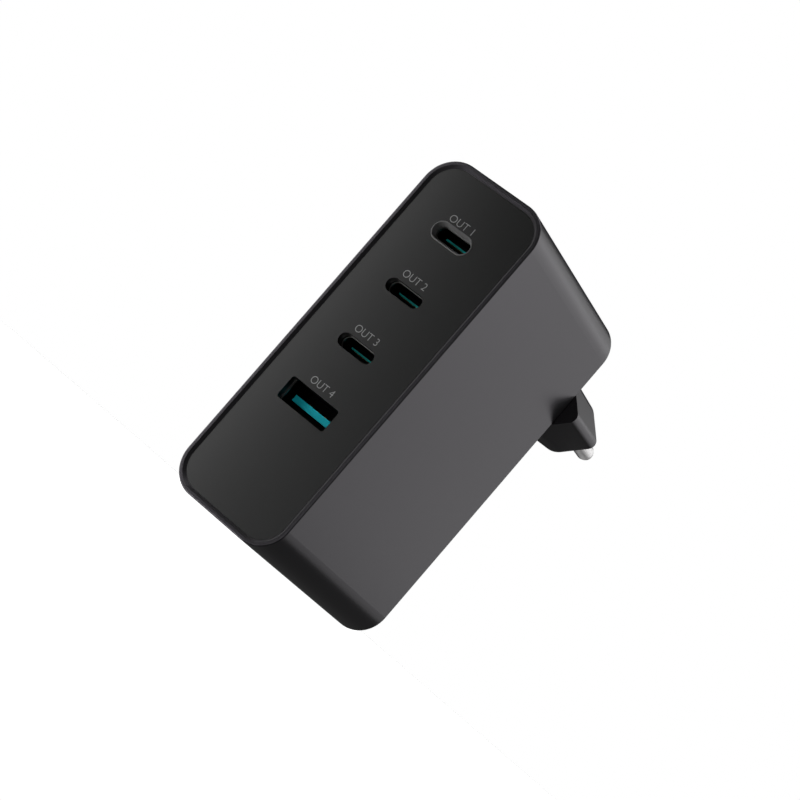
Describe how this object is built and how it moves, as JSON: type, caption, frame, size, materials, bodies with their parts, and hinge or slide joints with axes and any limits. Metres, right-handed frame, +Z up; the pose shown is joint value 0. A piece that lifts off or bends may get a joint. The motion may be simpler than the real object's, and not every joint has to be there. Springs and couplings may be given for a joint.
{
  "type": "wall charger",
  "caption": "Compact dark plastic wall charger: a tall rounded box with a beaded front rim, a column of charging ports and a fixed round-pin mains plug block at the rear.",
  "frame": {"origin": "centre of the housing's flat lower end, halfway between its front rim and rear wall", "axes": "+Z up along the housing's height, +Y the way the mains pins point, -Y the way the ports face, +X to the right seen from the ports"},
  "size_m": [0.0366, 0.0919, 0.085],
  "materials": {
    "housing_plastic": "fine spark texture",
    "panel_plastic": "satin",
    "ring_plastic": "satin",
    "plug_plastic": "fine spark texture",
    "nickel_plate": "satin nickel plate",
    "sleeve_plastic": "satin",
    "lead_brass": "rolled strip",
    "board_laminate": "solder-masked laminate",
    "header_plastic": "moulded",
    "shell_steel": "drawn and plated",
    "tongue_teal": "moulded",
    "contact_gold": "gold plated",
    "ferrite": "ground",
    "bobbin_plastic": "moulded",
    "winding_tape": "taped winding",
    "copper_wire": "enamelled copper",
    "film_case": "moulded case",
    "fuse_case": "moulded case",
    "disc_lacquer": "dipped lacquer",
    "chip_epoxy": "moulded epoxy",
    "spreader_metal": "mill finish",
    "insulation_film": "thin film",
    "pad_silicone": "soft gap pad",
    "can_metal": "drawn can"
  },
  "bodies": {
    "root": {"board_header": "header_plastic", "bridge_rectifier": "chip_epoxy", "bulk_capacitor_1": "can_metal", "bulk_capacitor_2": "can_metal", "bulk_capacitor_3": "can_metal", "bulk_capacitor_4": "can_metal", "choke_core": "ferrite", "choke_winding_front": "copper_wire", "choke_winding_rear": "copper_wire", "controller_chip": "chip_epoxy", "disc_capacitor": "disc_lacquer", "film_capacitor": "film_case", "front_panel": "panel_plastic", "fuse": "fuse_case", "heat_spreader_left": "spreader_metal", "heat_spreader_right": "spreader_metal", "housing_shell": "housing_plastic", "insulation_sheet": "insulation_film", "main_board": "board_laminate", "mains_pin_left": "nickel_plate", "mains_pin_right": "nickel_plate", "output_capacitor_1": "can_metal", "output_capacitor_2": "can_metal", "pin_lead_left": "lead_brass", "pin_lead_right": "lead_brass", "pin_sleeve_left": "sleeve_plastic", "pin_sleeve_right": "sleeve_plastic", "plug_block": "plug_plastic", "port_board": "board_laminate", "port_capacitor_1": "can_metal", "port_capacitor_2": "can_metal", "port_capacitor_3": "can_metal", "port_capacitor_4": "can_metal", "port_controllers": "chip_epoxy", "port_inductor_1": "ferrite", "port_inductor_2": "ferrite", "port_inductor_3": "ferrite", "port_ring": "ring_plastic", "power_switch": "chip_epoxy", "rectifier_switches": "chip_epoxy", "thermal_pad_left": "pad_silicone", "thermal_pad_right": "pad_silicone", "transformer_bobbin": "bobbin_plastic", "transformer_core_lower": "ferrite", "transformer_core_upper": "ferrite", "transformer_winding": "winding_tape", "type_a_contacts": "contact_gold", "type_a_shell": "shell_steel", "type_a_tongue": "tongue_teal", "type_c_contacts_1": "contact_gold", "type_c_contacts_2": "contact_gold", "type_c_contacts_3": "contact_gold", "type_c_shell_1": "shell_steel", "type_c_shell_2": "shell_steel", "type_c_shell_3": "shell_steel", "type_c_tongue_1": "tongue_teal", "type_c_tongue_2": "tongue_teal", "type_c_tongue_3": "tongue_teal"}
  },
  "joints": []
}
